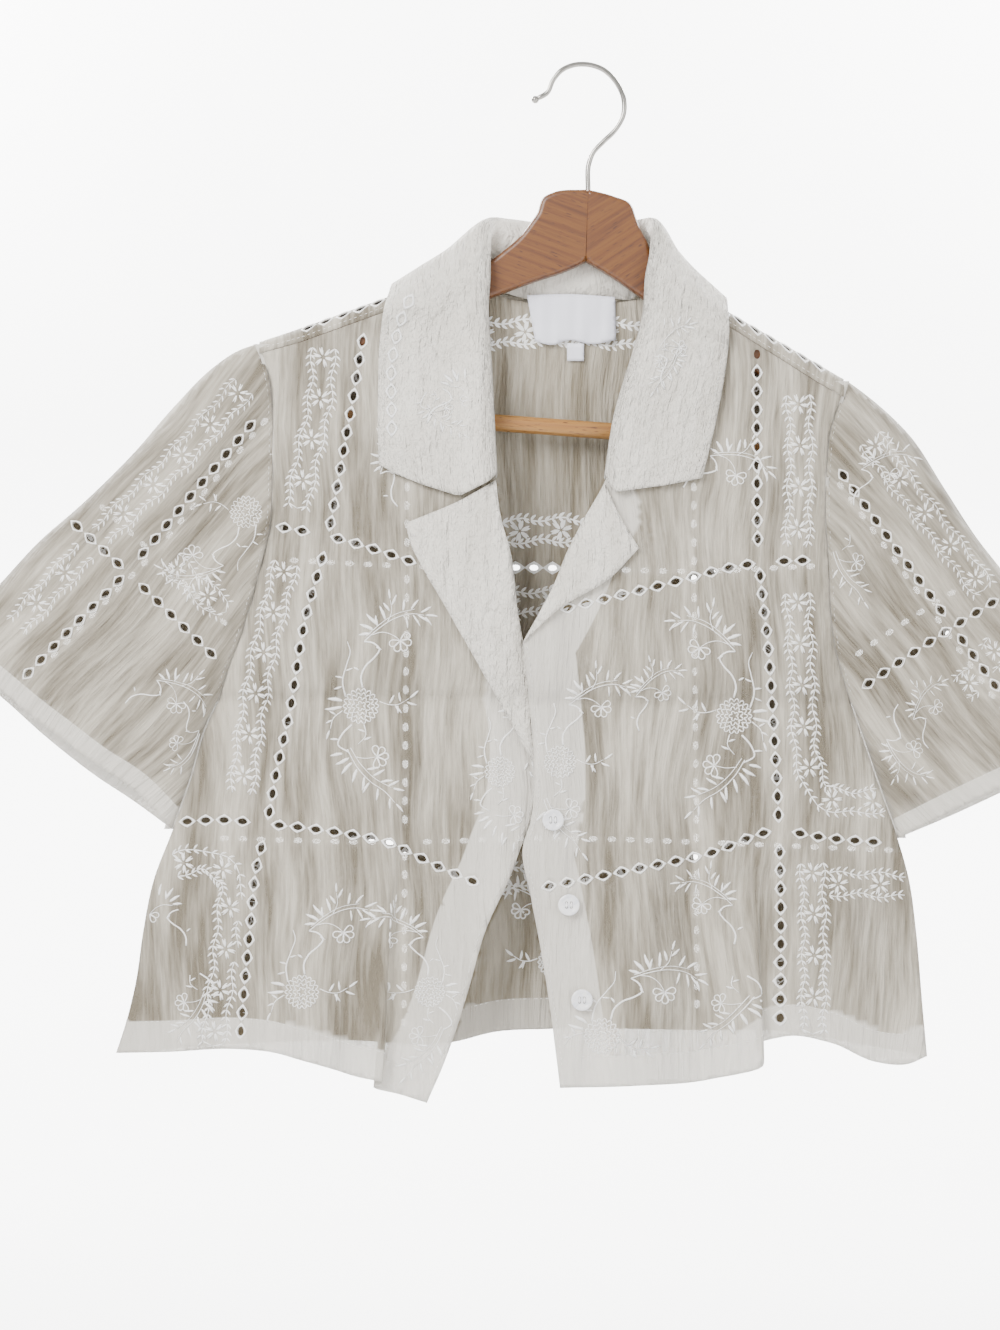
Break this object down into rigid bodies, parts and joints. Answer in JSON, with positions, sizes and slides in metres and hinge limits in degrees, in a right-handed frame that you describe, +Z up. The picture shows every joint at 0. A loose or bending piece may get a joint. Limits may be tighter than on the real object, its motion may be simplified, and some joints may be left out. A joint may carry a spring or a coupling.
{
  "type": "cropped blouse on a wooden hanger",
  "caption": "Sheer cropped blouse with notched collar, flared short sleeves and eyelet ladders, open in front, hung on a wooden hanger with a bar and a steel hook.",
  "frame": {"origin": "the point inside the top of the hook where it hangs on its rail or peg", "axes": "+Z up, +Y from the blouse's front to its back, +X towards the wearer's left sleeve"},
  "size_m": [0.7622, 0.0646, 0.6743],
  "materials": {
    "sheer_cloth": "matt, sheer off-white weave",
    "double_cloth": "matt, two layers of off-white cloth",
    "wood": "clear satin varnish",
    "bar_wood": "clear satin varnish",
    "chrome": "polished",
    "shell": "pearly",
    "ribbon": "woven satin tape"
  },
  "bodies": {
    "root": {"back": "sheer_cloth", "front_right": "sheer_cloth", "front_left": "sheer_cloth", "sleeve_right_front": "sheer_cloth", "sleeve_right_back": "sheer_cloth", "sleeve_left_front": "sheer_cloth", "sleeve_left_back": "sheer_cloth", "collar": "double_cloth", "lapel_right": "double_cloth", "lapel_left": "double_cloth", "hanger_arm_right": "wood", "hanger_arm_left": "wood", "hanger_bar": "bar_wood", "hanger_hook": "chrome", "button_1": "shell", "button_2": "shell", "button_3": "shell", "neck_label": "ribbon", "size_tag": "ribbon", "care_label": "ribbon"}
  },
  "joints": []
}
